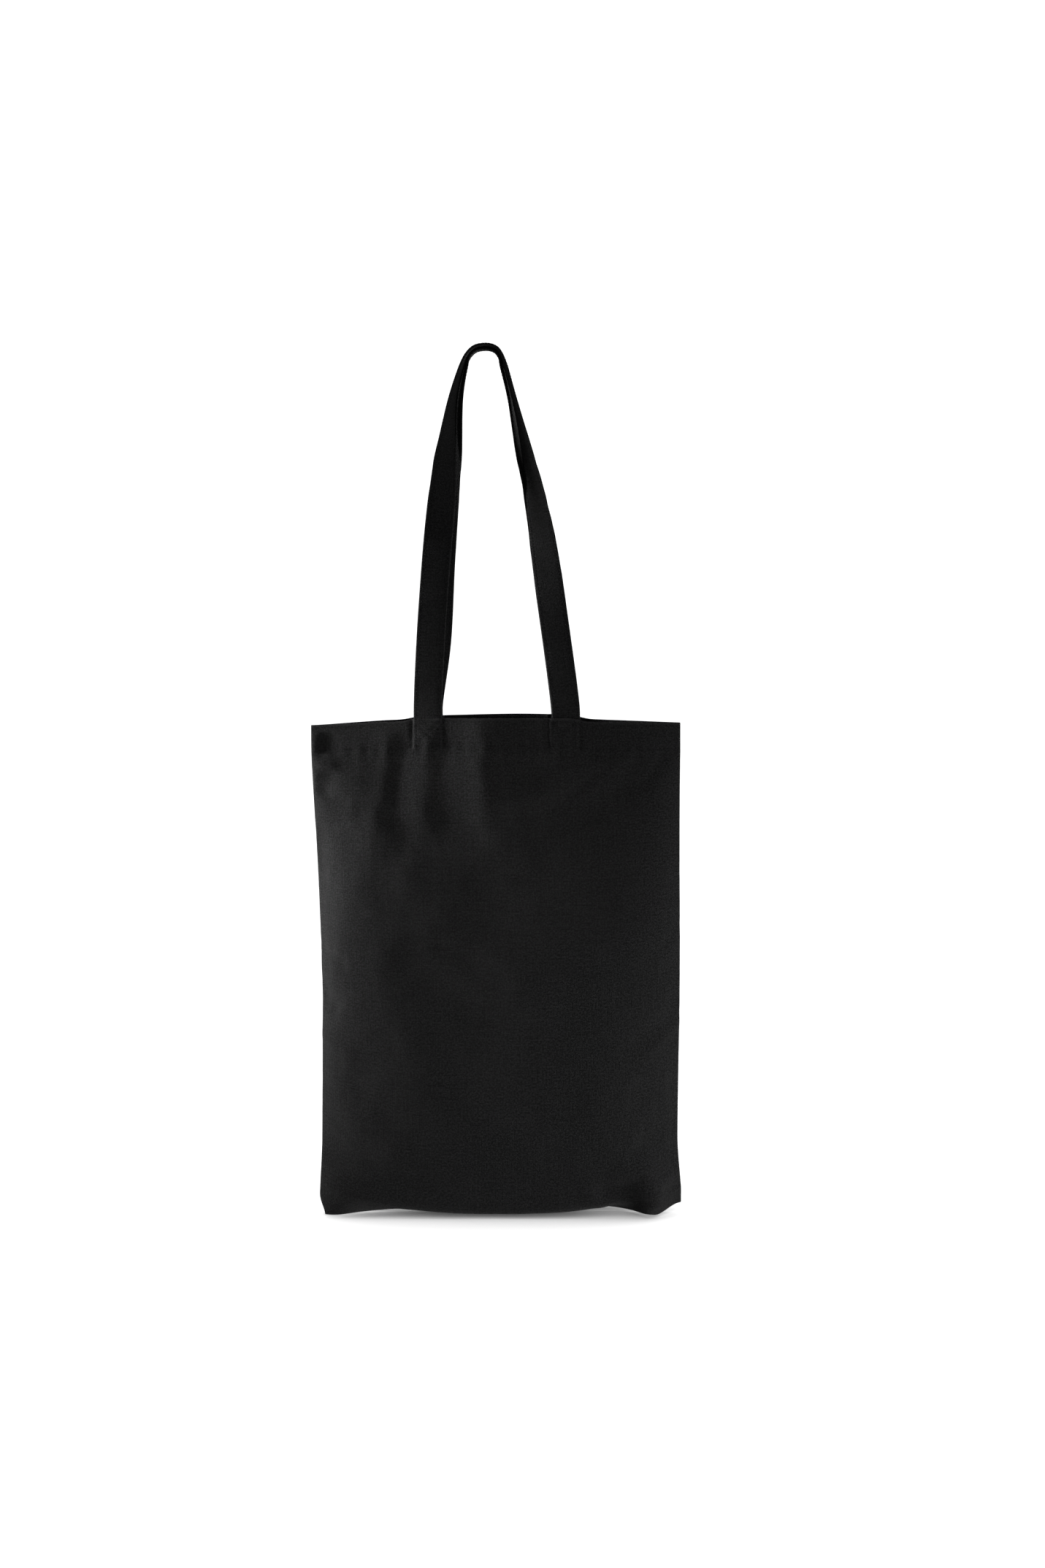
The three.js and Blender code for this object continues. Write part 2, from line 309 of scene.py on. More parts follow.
# lets the sewn panels settle under their own weight and gives back the same grid
def settleCloth(points):
    front = np.arange((rows + 1) * (columns + 1)).reshape(rows + 1, columns + 1)
    back = np.full_like(front, -1)
    back[:, 0] = front[:, 0]
    back[:, -1] = front[:, -1]
    back[-1] = front[-1]
    free = back < 0
    back[free] = front.max() + 1 + np.arange(free.sum())
    u = np.linspace(-0.5, 0.5, columns + 1) * cut["width"]
    v = np.linspace(0, 1, rows + 1) * cut["length"]
    flat = np.zeros((rows + 1, columns + 1, 3))
    flat[..., 0] = u[None, :]
    flat[..., 2] = hemTop - v[:, None]
    start = np.concatenate([points[0].reshape(-1, 3), points[1][free]])
    lump = softNoise(start * (1, 1, 0.6), settle["lumpSize"], 3.1) * settle["lumps"]
    start[:, 1] += lump * np.clip((hemTop - start[:, 2]) / 0.1, 0, 1)
    rest = np.concatenate([flat.reshape(-1, 3), flat[free]])

    quads = []
    for index, flip in ((front, False), (back, True)):
        corners = [index[:-1, :-1], index[1:, :-1], index[1:, 1:], index[:-1, 1:]]
        face = np.stack(corners, -1).reshape(-1, 4)
        quads.append(face[:, ::-1] if flip else face)
    bag = addMesh("settling", start, np.concatenate(quads))
    bag.shape_key_add(name="start")
    pattern = bag.shape_key_add(name="pattern")
    pattern.data.foreach_set("co", rest.astype(np.float32).ravel())
    held = bag.vertex_groups.new(name="held")
    pinned = 1 + int(cut["hem"] / gridStep)
    pins = np.unique(np.concatenate([front[:pinned].ravel(), back[:pinned].ravel()]))
    held.add(pins.tolist(), 1.0, "REPLACE")

    ground = addMesh("ground", [(-1, -1, 0), (1, -1, 0), (1, 1, 0), (-1, 1, 0)], [(0, 1, 2, 3)])
    ground.modifiers.new("Collision", "COLLISION")
    ground.collision.thickness_outer = 1 * mm
    ground.collision.cloth_friction = 20

    cloth = bag.modifiers.new("Cloth", "CLOTH")
    how = cloth.settings
    how.quality = 8
    how.mass = cut["weight"] * gridStep**2 * 20
    how.air_damping = 2
    how.tension_stiffness = how.compression_stiffness = settle["stiffness"]
    how.shear_stiffness = settle["stiffness"] / 3
    how.bending_stiffness = settle["bending"]
    how.vertex_group_mass = "held"
    how.rest_shape_key = pattern
    how.use_pressure = True
    how.uniform_pressure_force = settle["pressure"]
    cloth.collision_settings.use_collision = True
    cloth.collision_settings.distance_min = 1.5 * mm
    cloth.point_cache.frame_start = 1
    cloth.point_cache.frame_end = settle["frames"]
    for step in range(1, settle["frames"] + 1):
        scene.frame_set(step)
    done = bag.evaluated_get(bpy.context.evaluated_depsgraph_get()).to_mesh()
    end = np.empty(len(start) * 3, np.float32)
    done.vertices.foreach_get("co", end)
    end = end.reshape(-1, 3).astype(float)
    moved = end - start
    # the foot keeps the shape it was set down in
    moved *= 1 - settle["footHold"] * (1 - fadeIn(start[:, 2:], *settle["footHigh"]))
    far = np.linalg.norm(moved, axis=1, keepdims=True)
    print("cloth moved up to", round(far.max() * 1000, 1), "mm")
    kept = settle["reach"] * np.tanh(far / settle["reach"]) / np.maximum(far, 1e-9)
    end = start + moved * kept
    end[:, 2] = np.maximum(end[:, 2], settle["floorGap"])
    scene.frame_set(1)
    for thing in (bag, ground):
        bpy.data.objects.remove(thing)
    return np.stack([end[front], end[back]])


# a smooth surface through a grid of points, at row a and column b in steps
def sampleGrid(grid, a, b):
    def weights(t):
        return np.stack([
            -0.5 * t + t**2 - 0.5 * t**3,
            1 - 2.5 * t**2 + 1.5 * t**3,
            0.5 * t + 2 * t**2 - 1.5 * t**3,
            -0.5 * t**2 + 0.5 * t**3,
        ])

    a, b = np.broadcast_arrays(a, b)
    lastRow = grid.shape[0] - 1
    lastColumn = grid.shape[1] - 1
    ia = np.clip(np.floor(a).astype(int), 0, lastRow - 1)
    ib = np.clip(np.floor(b).astype(int), 0, lastColumn - 1)
    wa = weights(a - ia)
    wb = weights(b - ib)
    total = np.zeros(a.shape + (3,))
    for i in range(4):
        row = np.clip(ia + i - 1, 0, lastRow)
        for k in range(4):
            column = np.clip(ib + k - 1, 0, lastColumn)
            total += grid[row, column] * (wa[i] * wb[k])[..., None]
    return total


startGrid = startShape()
clothGrid = settleCloth(startGrid)
print("cloth settled")


# folds and wrinkles, in mm on the flat cut: across from the middle, down from the top
# edge; where each starts and ends, its width and how far it stands out
folds = {
    "front": [
        # the upper left corner, pulled in by its seam
        ((-167, 8), (-166, 26), 6, 1.3),
        ((-152, 6), (-155, 26), 8, -1.3),
        ((-172, 36), (-146, 37), 5, 0.9),
        ((-166, 44), (-168, 66), 6, 1.6),
        ((-150, 44), (-158, 68), 9, -1.9),
        ((-176, 88), (-128, 84), 10, 1.3),
        ((-176, 101), (-146, 98), 6, -0.7),
        # soft pleats hanging from the hem
        ((-122, 12), (-128, 100), 12, 0.8),
        ((-98, 8), (-103, 60), 9, 1.1),
        ((-103, 60), (-118, 110), 12, 1.3),
        ((-118, 110), (-130, 165), 13, 0.9),
        ((-84, 14), (-98, 96), 8, -1.2),
        ((-60, 10), (-66, 60), 9, 0.9),
        ((-66, 60), (-78, 130), 12, 1.1),
        ((-46, 10), (-50, 100), 10, -0.9),
        ((-15, 0), (-14, 96), 11, 1.6),
        ((-2, 0), (4, 110), 22, 1.3),
        ((-84, 125), (-72, 190), 26, 1.2),
        # lines pressed in while it lay folded
        ((-170, 132), (20, 132), 1.5, -0.4),
        ((-170, 136), (10, 136), 2.2, 0.35),
        ((-100, 121), (-78, 121), 1.3, -0.3),
        # long soft valleys that run down to the right
        ((-60, 195), (6, 236), 12, -1.3),
        ((-96, 212), (-8, 270), 19, -1.7),
        ((-30, 140), (12, 168), 12, -0.8),
        ((-80, 290), (-40, 330), 24, -1.0),
        ((-20, 205), (60, 262), 20, 0.8),
        # the left seam dips in and the cloth rolls over below it
        ((-176, 214), (-142, 222), 7, -1.2),
        ((-178, 250), (-150, 268), 13, -3.0),
        ((-172, 296), (-136, 308), 10, 1.2),
        ((-150, 330), (-142, 372), 10, 0.8),
        ((-118, 350), (-146, 392), 13, 1.2),
        ((-164, 438), (-128, 404), 7, 1.1),
        # the right seam
        ((148, 214), (170, 190), 6, -1.1),
        ((144, 224), (170, 204), 7, 0.9),
        ((124, 292), (170, 268), 7, -1.5),
        ((136, 306), (170, 284), 5, 1.7),
        ((153, 330), (157, 400), 4, 0.9),
        # the bottom rolls under, with a fold and an ear on the right
        ((76, 414), (96, 452), 8, 1.6),
        ((90, 424), (142, 446), 8, -2.6),
        ((104, 406), (152, 440), 10, 1.8),
        ((150, 436), (168, 446), 5, -1.6),
        ((-104, 432), (60, 436), 9, 0.6),
    ],
    "back": [
        ((120, 28), (168, 96), 10, 1.6),
        ((150, 70), (172, 58), 8, -2.2),
        ((96, 26), (100, 118), 8, 0.8),
        ((24, 26), (18, 120), 11, -0.9),
        ((-64, 26), (-58, 96), 9, 0.9),
        ((-170, 134), (170, 137), 1.6, -0.35),
        ((-170, 139), (170, 142), 2.2, 0.35),
        ((40, 190), (-60, 262), 22, -1.5),
        ((-120, 236), (-170, 214), 7, 1.5),
        ((-126, 246), (-170, 228), 6, -1.3),
        ((120, 300), (170, 268), 7, 1.7),
        ((150, 330), (154, 430), 7, 1.2),
        ((-150, 330), (-156, 430), 7, 1.2),
        ((-130, 410), (-168, 442), 6, 1.6),
        ((128, 414), (168, 444), 6, 1.6),
        ((-40, 430), (50, 436), 10, 0.8),
    ],
}
hemLook = {
    "topRow": 2.0,  # mm under the top edge
    "lowRow": 24.3,
    "foldEnd": 28.6,  # where the cloth turned in under the hem ends
    "foldStep": 0.5,
    "groove": 0.32,
    "grooveWidth": 1.1,
    "pucker": 0.3,
    "puckerLength": 13,
    "boxSize": 20.5,  # the box stitch, between the two rows
    "boxBulge": 0.7,
    "boxFold": 0.7,
}
sideNames = ("front", "back")


# distance to a segment, and the share of the way along it
def segmentDistance(x, v, start, end):
    start = np.array(start, float)
    end = np.array(end, float)
    way = end - start
    share = ((x - start[0]) * way[0] + (v - start[1]) * way[1]) / (way @ way)
    near = np.clip(share, 0, 1)
    gap = np.hypot(x - start[0] - near * way[0], v - start[1] - near * way[1])
    return gap, share


# the stitched square and its diagonals round a handle's end: pairs of ends, in mm
def boxLines(centre):
    r = hemLook["boxSize"] / 2
    middle = (hemLook["topRow"] + hemLook["lowRow"]) / 2
    square = ((-r, -r), (r, -r), (r, r), (-r, r))
    corners = [(centre + x, middle + v) for x, v in square]
    sides = [(corners[k], corners[(k + 1) % 4]) for k in range(4)]
    return sides + [(corners[3], corners[1]), (corners[0], corners[2])]


# how far the cloth stands out at a point of the flat cut, in mm
def reliefOn(side, x, v):
    lift = np.zeros(np.broadcast(x, v).shape)
    for start, end, width, height in folds[sideNames[side]]:
        gap, share = segmentDistance(x, v, start, end)
        lift += height * bump(gap, width) * smoothStep(0.5 + 4 * np.minimum(share, 1 - share))
    flat = np.stack(np.broadcast_arrays(x, v, 40.0 * side), -1)
    broad = softNoise(flat, 55, 7.7)
    fine = softNoise(flat * (1, 0.55, 1), 17, 21.3)
    freeCloth = fadeIn(v, 20, 50)
    lift += (0.9 * broad + 0.28 * fine) * (0.25 + 0.75 * freeCloth)

    for row in (hemLook["topRow"], hemLook["lowRow"]):
        lift -= hemLook["groove"] * bump(v - row, hemLook["grooveWidth"])
    pastFold = v - hemLook["foldEnd"]
    lift -= hemLook["foldStep"] * (bump(pastFold - 0.6, 1.2) - 0.5 * smoothStep(-pastFold / 1.5))
    wave = np.sin(2 * math.pi * x / hemLook["puckerLength"] + 2.2 * broad + 3 * side)
    lift += hemLook["pucker"] * wave * bump(v - hemLook["lowRow"] - 1, 7)
    for centre in (-handleX / mm, handleX / mm):
        across = np.abs(x - centre)
        inHem = 1 - fadeIn(v, hemLook["lowRow"], hemLook["lowRow"] + 3)
        lift += hemLook["boxBulge"] * (1 - fadeIn(across, 11.8, 13.6)) * inHem
        lift -= hemLook["boxFold"] * bump(across - 14.2, 1.5) * inHem
        for start, end in boxLines(centre):
            gap, _ = segmentDistance(x, v, start, end)
            lift -= hemLook["groove"] * bump(gap, 0.9)
    return lift


# points of a panel's outer face for mm on the flat cut, and the way it faces
def bagPoint(side, x, v, raised=0.0):
    x, v = np.broadcast_arrays(np.asarray(x, float), np.asarray(v, float))
    grid = clothGrid[side]
    width = cut["width"] / mm
    length = cut["length"] / mm
    column = (x / width + 0.5) * columns
    row = v / length * rows
    place = sampleGrid(grid, row, column)
    e = 0.25  # steps to each side when finding which way the cloth faces
    cRow = np.clip(row, e, rows - e)
    cColumn = np.clip(column, e, columns - e)
    acrossWay = sampleGrid(grid, cRow, cColumn + e) - sampleGrid(grid, cRow, cColumn - e)
    downWay = sampleGrid(grid, cRow + e, cColumn) - sampleGrid(grid, cRow - e, cColumn)
    out = unit(np.cross(downWay, acrossWay)) * (1 if side == 0 else -1)
    lift = reliefOn(side, x, v)
    # the cloth turns in at the side and bottom seams
    toSide = width / 2 - np.abs(x)
    toBottom = length - v
    lift = lift * smoothStep(toSide / 5) * smoothStep(toBottom / 5)
    place = place + out * ((lift + raised) * mm)[..., None]
    place[..., 0] -= np.sign(x) * 1.7 * mm * bump(toSide, 1.1)
    place[..., 2] += 1.2 * mm * bump(toBottom, 1.1)
    return place, out


# shader groups
def newGroup(name, inputs, outputs):
    group = bpy.data.node_groups.new(name, "ShaderNodeTree")
    for kind, label, value in inputs:
        socket = group.interface.new_socket(label, in_out="INPUT", socket_type=kind)
        if value is not None:
            socket.default_value = value
    for kind, label in outputs:
        group.interface.new_socket(label, in_out="OUTPUT", socket_type=kind)
    return group, group.nodes.new("NodeGroupInput"), group.nodes.new("NodeGroupOutput")


# each value is a number or a socket
def mathNode(tree, operation, *values, clamp=False):
    node = tree.nodes.new("ShaderNodeMath")
    node.operation = operation
    node.use_clamp = clamp
    for k, value in enumerate(values):
        if isinstance(value, (int, float)):
            node.inputs[k].default_value = value
        else:
            tree.links.new(value, node.inputs[k])
    return node.outputs[0]


def noiseNode(tree, place, scale, detail=2.0, rough=0.5):
    node = tree.nodes.new("ShaderNodeTexNoise")
    node.inputs["Scale"].default_value = scale
    node.inputs["Detail"].default_value = detail
    node.inputs["Roughness"].default_value = rough
    tree.links.new(place, node.inputs["Vector"])
    return node.outputs["Fac"]


def stretched(tree, place, scale):
    node = tree.nodes.new("ShaderNodeMapping")
    node.inputs["Scale"].default_value = scale
    tree.links.new(place, node.inputs["Vector"])
    return node.outputs["Vector"]


# warp over weft, with yarns that swell and thin; Place is in metres on the cloth
def plainWeave():
    group, given, result = newGroup(
        "plainWeave",
        [
            ("NodeSocketVector", "Place", None),
            ("NodeSocketFloat", "Warp Pitch", 0.0011),
            ("NodeSocketFloat", "Weft Pitch", 0.0014),
            ("NodeSocketFloat", "Slub", 0.6),
        ],
        [("NodeSocketFloat", "Height"), ("NodeSocketFloat", "Streak"), ("NodeSocketFloat", "Fleck")],
    )
    place = given.outputs["Place"]
    parts = group.nodes.new("ShaderNodeSeparateXYZ")
    group.links.new(place, parts.inputs[0])
    wobble = noiseNode(group, place, 160)
    wobble = mathNode(group, "MULTIPLY", mathNode(group, "SUBTRACT", wobble, 0.5), 1.5)
    angles = []
    for axis, pitch in ((0, "Warp Pitch"), (1, "Weft Pitch")):
        turns = mathNode(group, "DIVIDE", parts.outputs[axis], given.outputs[pitch])
        turns = mathNode(group, "ADD", turns, wobble)
        angles.append(mathNode(group, "SINE", mathNode(group, "MULTIPLY", turns, math.pi)))
    warp = mathNode(group, "ABSOLUTE", angles[0])
    weft = mathNode(group, "ABSOLUTE", angles[1])
    over = mathNode(group, "MULTIPLY", mathNode(group, "MULTIPLY", angles[0], angles[1]), 2.5)
    over = mathNode(group, "MULTIPLY_ADD", over, 0.5, 0.5, clamp=True)
    warpTop = mathNode(group, "MULTIPLY", warp, mathNode(group, "MULTIPLY_ADD", weft, 0.4, 0.6))
    weftTop = mathNode(group, "MULTIPLY", weft, mathNode(group, "MULTIPLY_ADD", warp, 0.4, 0.6))
    blend = mathNode(group, "MULTIPLY", mathNode(group, "SUBTRACT", warpTop, weftTop), over)
    woven = mathNode(group, "ADD", blend, weftTop)
    weftSlub = noiseNode(group, stretched(group, place, (28, 720, 1)), 1, 3, 0.6)
    warpSlub = noiseNode(group, stretched(group, place, (900, 22, 1)), 1, 3, 0.6)
    slub = mathNode(group, "SUBTRACT", mathNode(group, "ADD", weftSlub, warpSlub), 1)
    slub = mathNode(group, "MULTIPLY", slub, given.outputs["Slub"])
    height = mathNode(group, "MULTIPLY", woven, mathNode(group, "ADD", slub, 1))
    group.links.new(height, result.inputs["Height"])
    group.links.new(mathNode(group, "ADD", slub, 0.5, clamp=True), result.inputs["Streak"])
    speck = noiseNode(group, stretched(group, place, (420, 760, 1)), 1, 2, 0.7)
    speck = mathNode(group, "MULTIPLY", mathNode(group, "SUBTRACT", speck, 0.66), 9, clamp=True)
    group.links.new(speck, result.inputs["Fleck"])
    return group


# colour from the cloth's base, the weave's height and streaks, and lighter and linty spots; painted
# shade darkens the weave's low points and painted highlight joins the wear along edges
def clothTone():
    group, given, result = newGroup(
        "clothTone",
        [
            ("NodeSocketColor", "Base", (0.01, 0.01, 0.01, 1)),
            ("NodeSocketColor", "Light Tone", (0.02, 0.02, 0.02, 1)),
            ("NodeSocketFloat", "Height", 0.5),
            ("NodeSocketFloat", "Streak", 0.5),
            ("NodeSocketFloat", "Fleck", 0.0),
            ("NodeSocketFloat", "Wear And Highlight", 0.0),
            ("NodeSocketFloat", "Grain", 1.0),
            ("NodeSocketVector", "Place", None),
        ],
        [("NodeSocketColor", "Color"), ("NodeSocketFloat", "Roughness")],
    )
    cloudy = noiseNode(group, given.outputs["Place"], 22, 4, 0.6)
    grain = noiseNode(group, given.outputs["Place"], 620, 3, 0.75)
    grain = mathNode(group, "MULTIPLY", mathNode(group, "SUBTRACT", grain, 0.5), given.outputs["Grain"])
    lightness = mathNode(group, "MULTIPLY_ADD", given.outputs["Streak"], 0.55, grain)
    lightness = mathNode(group, "MULTIPLY_ADD", mathNode(group, "SUBTRACT", cloudy, 0.5), 0.5, lightness)
    # painted shade: the weave's low points are coloured darker
    lightness = mathNode(group, "MULTIPLY_ADD", given.outputs["Height"], 0.25, lightness)
    # edges are painted lighter, partly as wear and partly as painted highlight
    lightness = mathNode(group, "MULTIPLY_ADD", given.outputs["Wear And Highlight"], 0.6, lightness)
    lightness = mathNode(group, "MULTIPLY_ADD", given.outputs["Fleck"], 0.5, lightness, clamp=True)
    mix = group.nodes.new("ShaderNodeMix")
    mix.data_type = "RGBA"
    group.links.new(lightness, mix.inputs["Factor"])
    group.links.new(given.outputs["Base"], mix.inputs["A"])
    group.links.new(given.outputs["Light Tone"], mix.inputs["B"])
    group.links.new(mix.outputs["Result"], result.inputs["Color"])
    rough = mathNode(group, "MULTIPLY_ADD", given.outputs["Height"], -0.08, 0.95)
    group.links.new(rough, result.inputs["Roughness"])
    return group


# plies of a sewing thread; Place runs along the thread in metres
def threadTwist():
    group, given, result = newGroup(
        "threadTwist",
        [("NodeSocketVector", "Place", None), ("NodeSocketFloat", "Ply", 0.0009)],
        [("NodeSocketFloat", "Height")],
    )
    parts = group.nodes.new("ShaderNodeSeparateXYZ")
    group.links.new(given.outputs["Place"], parts.inputs[0])
    turns = mathNode(group, "ADD", parts.outputs[0], parts.outputs[1])
    turns = mathNode(group, "DIVIDE", turns, given.outputs["Ply"])
    height = mathNode(group, "SINE", mathNode(group, "MULTIPLY", turns, math.pi))
    height = mathNode(group, "ABSOLUTE", height)
    group.links.new(height, result.inputs["Height"])
    return group


clothLooks = {
    "canvas": {
        "base": (0.0022, 0.0022, 0.0023, 1),
        "lightTone": (0.0165, 0.0165, 0.0168, 1),
        "warpPitch": 1.15 * mm,
        "weftPitch": 1.5 * mm,
        "slub": 0.9,
        "grain": 5.0,
        "bump": 0.75,
        "relief": 0.35 * mm,
        "sheen": 0.05,
        "specular": 0.16,
    },
    "strap": {
        "base": (0.0018, 0.0018, 0.0019, 1),
        "lightTone": (0.0150, 0.0150, 0.0153, 1),
        "warpPitch": 1.15 * mm,
        "weftPitch": 1.4 * mm,
        "slub": 0.8,
        "grain": 4.2,
        "bump": 0.7,
        "relief": 0.35 * mm,
        "sheen": 0.05,
        "specular": 0.16,
    },
}
threadLook = {
    "color": (0.0085, 0.0085, 0.0088, 1),
    "roughness": 0.8,
    "specular": 0.15,
    "bump": 0.4,
    "relief": 0.15 * mm,
}


def clothMaterial(name, weave, tone):
    look = clothLooks[name]
    material = bpy.data.materials.new(name)
    material.use_nodes = True
    tree = material.node_tree
    shader = tree.nodes["Principled BSDF"]
    shader.inputs["Specular IOR Level"].default_value = look["specular"]
    shader.inputs["Sheen Weight"].default_value = look["sheen"]
    shader.inputs["Sheen Roughness"].default_value = 0.5
    place = tree.nodes.new("ShaderNodeUVMap")
    place.uv_map = "cloth"
    woven = tree.nodes.new("ShaderNodeGroup")
    woven.node_tree = weave
    woven.inputs["Warp Pitch"].default_value = look["warpPitch"]
    woven.inputs["Weft Pitch"].default_value = look["weftPitch"]
    woven.inputs["Slub"].default_value = look["slub"]
    shade = tree.nodes.new("ShaderNodeGroup")
    shade.node_tree = tone
    shade.inputs["Base"].default_value = look["base"]
    shade.inputs["Light Tone"].default_value = look["lightTone"]
    shade.inputs["Grain"].default_value = look["grain"]
    wearAndHighlightNode = tree.nodes.new("ShaderNodeAttribute")
    wearAndHighlightNode.attribute_name = "wearAndHighlight"
    relief = tree.nodes.new("ShaderNodeBump")
    relief.inputs["Strength"].default_value = look["bump"]
    relief.inputs["Distance"].default_value = look["relief"]
    for start, end in (
        (place.outputs["UV"], woven.inputs["Place"]),
        (place.outputs["UV"], shade.inputs["Place"]),
        (woven.outputs["Height"], shade.inputs["Height"]),
        (woven.outputs["Streak"], shade.inputs["Streak"]),
        (woven.outputs["Fleck"], shade.inputs["Fleck"]),
        (wearAndHighlightNode.outputs["Fac"], shade.inputs["Wear And Highlight"]),
        (shade.outputs["Color"], shader.inputs["Base Color"]),
        (shade.outputs["Roughness"], shader.inputs["Roughness"]),
        (woven.outputs["Height"], relief.inputs["Height"]),
        (relief.outputs["Normal"], shader.inputs["Normal"]),
    ):
        tree.links.new(start, end)
    return material


def threadMaterial(twist):
    material = bpy.data.materials.new("thread")
    material.use_nodes = True
    tree = material.node_tree
    shader = tree.nodes["Principled BSDF"]
    shader.inputs["Roughness"].default_value = threadLook["roughness"]
    shader.inputs["Specular IOR Level"].default_value = threadLook["specular"]
    place = tree.nodes.new("ShaderNodeUVMap")
    place.uv_map = "cloth"
    plies = tree.nodes.new("ShaderNodeGroup")
    plies.node_tree = twist
    # painted shade: the thread's colour darkens to half in the grooves between its plies
    plyShade = tree.nodes.new("ShaderNodeMix")
    plyShade.data_type = "RGBA"
    plyShade.inputs["A"].default_value = tuple(c * 0.5 for c in threadLook["color"][:3]) + (1,)
    plyShade.inputs["B"].default_value = threadLook["color"]
    relief = tree.nodes.new("ShaderNodeBump")
    relief.inputs["Strength"].default_value = threadLook["bump"]
    relief.inputs["Distance"].default_value = threadLook["relief"]
    for start, end in (
        (place.outputs["UV"], plies.inputs["Place"]),
        (plies.outputs["Height"], plyShade.inputs["Factor"]),
        (plyShade.outputs["Result"], shader.inputs["Base Color"]),
        (plies.outputs["Height"], relief.inputs["Height"]),
        (relief.outputs["Normal"], shader.inputs["Normal"]),
    ):
        tree.links.new(start, end)
    return material


# material, slot, body and the CAD nodes that the piece stands for
def finishPiece(piece, materialName, bodies, nodes):
    piece.data.materials.append(materials[materialName])
    if len(bodies) == 1:
        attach(piece, bodies[0])
    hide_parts(*nodes)
    return piece


# stores per point how much lighter the cloth is painted: wear together with painted highlight
def setWearAndHighlight(piece, values):
    layer = piece.data.attributes.new("wearAndHighlight", "FLOAT", "POINT")
    layer.data.foreach_set("value", np.asarray(values, np.float32).ravel())


weaveGroup = plainWeave()
toneGroup = clothTone()
materials = {name: clothMaterial(name, weaveGroup, toneGroup) for name in clothLooks}
materials["thread"] = threadMaterial(threadTwist())
makeStudio()


# the two panels, each with its turned-in hem
panelMesh = {
    "step": 2.4,  # all in mm
    "hemStep": 0.9,
    "fineStep": 1.1,
    "fineHalf": 16,  # each side of a handle's middle
    "hemLip": 1.0,
    "seamGap": 0.3,
    "nearSeam": (0, 0.4, 0.8, 1.3, 2.0, 3.2),
}


# where the mesh's columns lie across the cut, in mm: finer at handles and seams
def cutColumns():
    half = cut["width"] / mm / 2
    step = panelMesh["step"]
    fine = panelMesh["fineStep"]
    near = np.array(panelMesh["nearSeam"])
    low = handleX / mm - panelMesh["fineHalf"]
    high = handleX / mm + panelMesh["fineHalf"]
    right = np.concatenate([
        np.linspace(0, low, round(low / step), endpoint=False),
        np.linspace(low, high, round((high - low) / fine), endpoint=False),
        np.linspace(high, half - near[-1], round((half - high) / step), endpoint=False),
        half - near[::-1],
    ])
    return np.concatenate([-right[:0:-1], right])


def cutRows():
    hemEnd = cut["hem"] / mm + 3
    length = cut["length"] / mm
    near = np.array(panelMesh["nearSeam"])
    return np.concatenate([
        np.linspace(0, hemEnd, round(hemEnd / panelMesh["hemStep"]), endpoint=False),
        np.linspace(hemEnd, length - near[-1], round(length / panelMesh["step"]), endpoint=False),
        length - near[::-1],
    ])


def makePanel(side):
    v = cutRows()
    gridX, gridV = np.meshgrid(cutColumns(), v)
    outer, out = bagPoint(side, gridX, gridV)
    thick = np.where(gridV < cut["hem"] / mm, cut["hemPlies"], cut["ply"])
    inner = outer - out * thick[..., None]
    # keep the two panels' inner faces apart at the seams
    way = 1 if side else -1
    for face in (inner, outer):
        face[..., 1] = way * np.maximum(way * face[..., 1], panelMesh["seamGap"] * mm / 2)
    lip = []
    for angle in (0.25, 0.5, 0.75):
        turn = angle * math.pi
        middle = (outer[0] + inner[0]) / 2
        swing = (outer[0] - inner[0]) / 2 * math.cos(turn)
        rise = np.array([0, 0, panelMesh["hemLip"] * mm * math.sin(turn)])
        lip.append(middle + swing + rise)
    sheet = np.concatenate([outer[::-1], np.array(lip), inner])
    sheetX = np.concatenate([gridX[::-1], np.repeat(gridX[:1], 3, 0), gridX])
    lipV = np.array([[-0.4], [-0.9], [-1.4]]) + 0 * gridX[:3]
    sheetV = np.concatenate([gridV[::-1], lipV, -1.8 - gridV])
    total, across = sheet.shape[:2]
    faces = gridFaces(total, across, flip=(side == 0))
    # rims along the two sides and the bottom
    rim = []
    for column in (0, across - 1):
        for r in range(len(v) - 1):
            mirror = total - 1 - r
            quad = [row * across + column for row in (r, r + 1, mirror - 1, mirror)]
            rim.append(quad if (column == 0) == (side == 0) else quad[::-1])
    # the lip's ends
    first = len(v) - 1
    for column in (0, across - 1):
        loop = [(first + k) * across + column for k in range(5)]
        rim.append(loop if (column == 0) == (side == 0) else loop[::-1])
    last = (total - 1) * across
    for c in range(across - 1):
        quad = [c, c + 1, last + c + 1, last + c]
        rim.append(quad if side == 1 else quad[::-1])
    name = sideNames[side]
    uvs = np.stack([sheetX, sheetV], -1).reshape(-1, 2) * mm
    points = sheet.reshape(-1, 3)
    piece = addMesh(f"{name}PanelCanvas", points, [*faces.tolist(), *rim], uvs=uvs)
    # painted highlight, together with wear: lighter along the hem's top fold, the side seams and the
    # bottom seam
    edge = bump(np.abs(sheetV), 1.2) + 0.7 * bump(cut["width"] / mm / 2 - np.abs(sheetX), 2)
    edge += 0.5 * bump(cut["length"] / mm - np.abs(sheetV), 2)
    setWearAndHighlight(piece, edge)
    return finishPiece(piece, "canvas", ["bag"], [f"{name}_panel"])


panels = [makePanel(side) for side in (0, 1)]
print("panels ready")

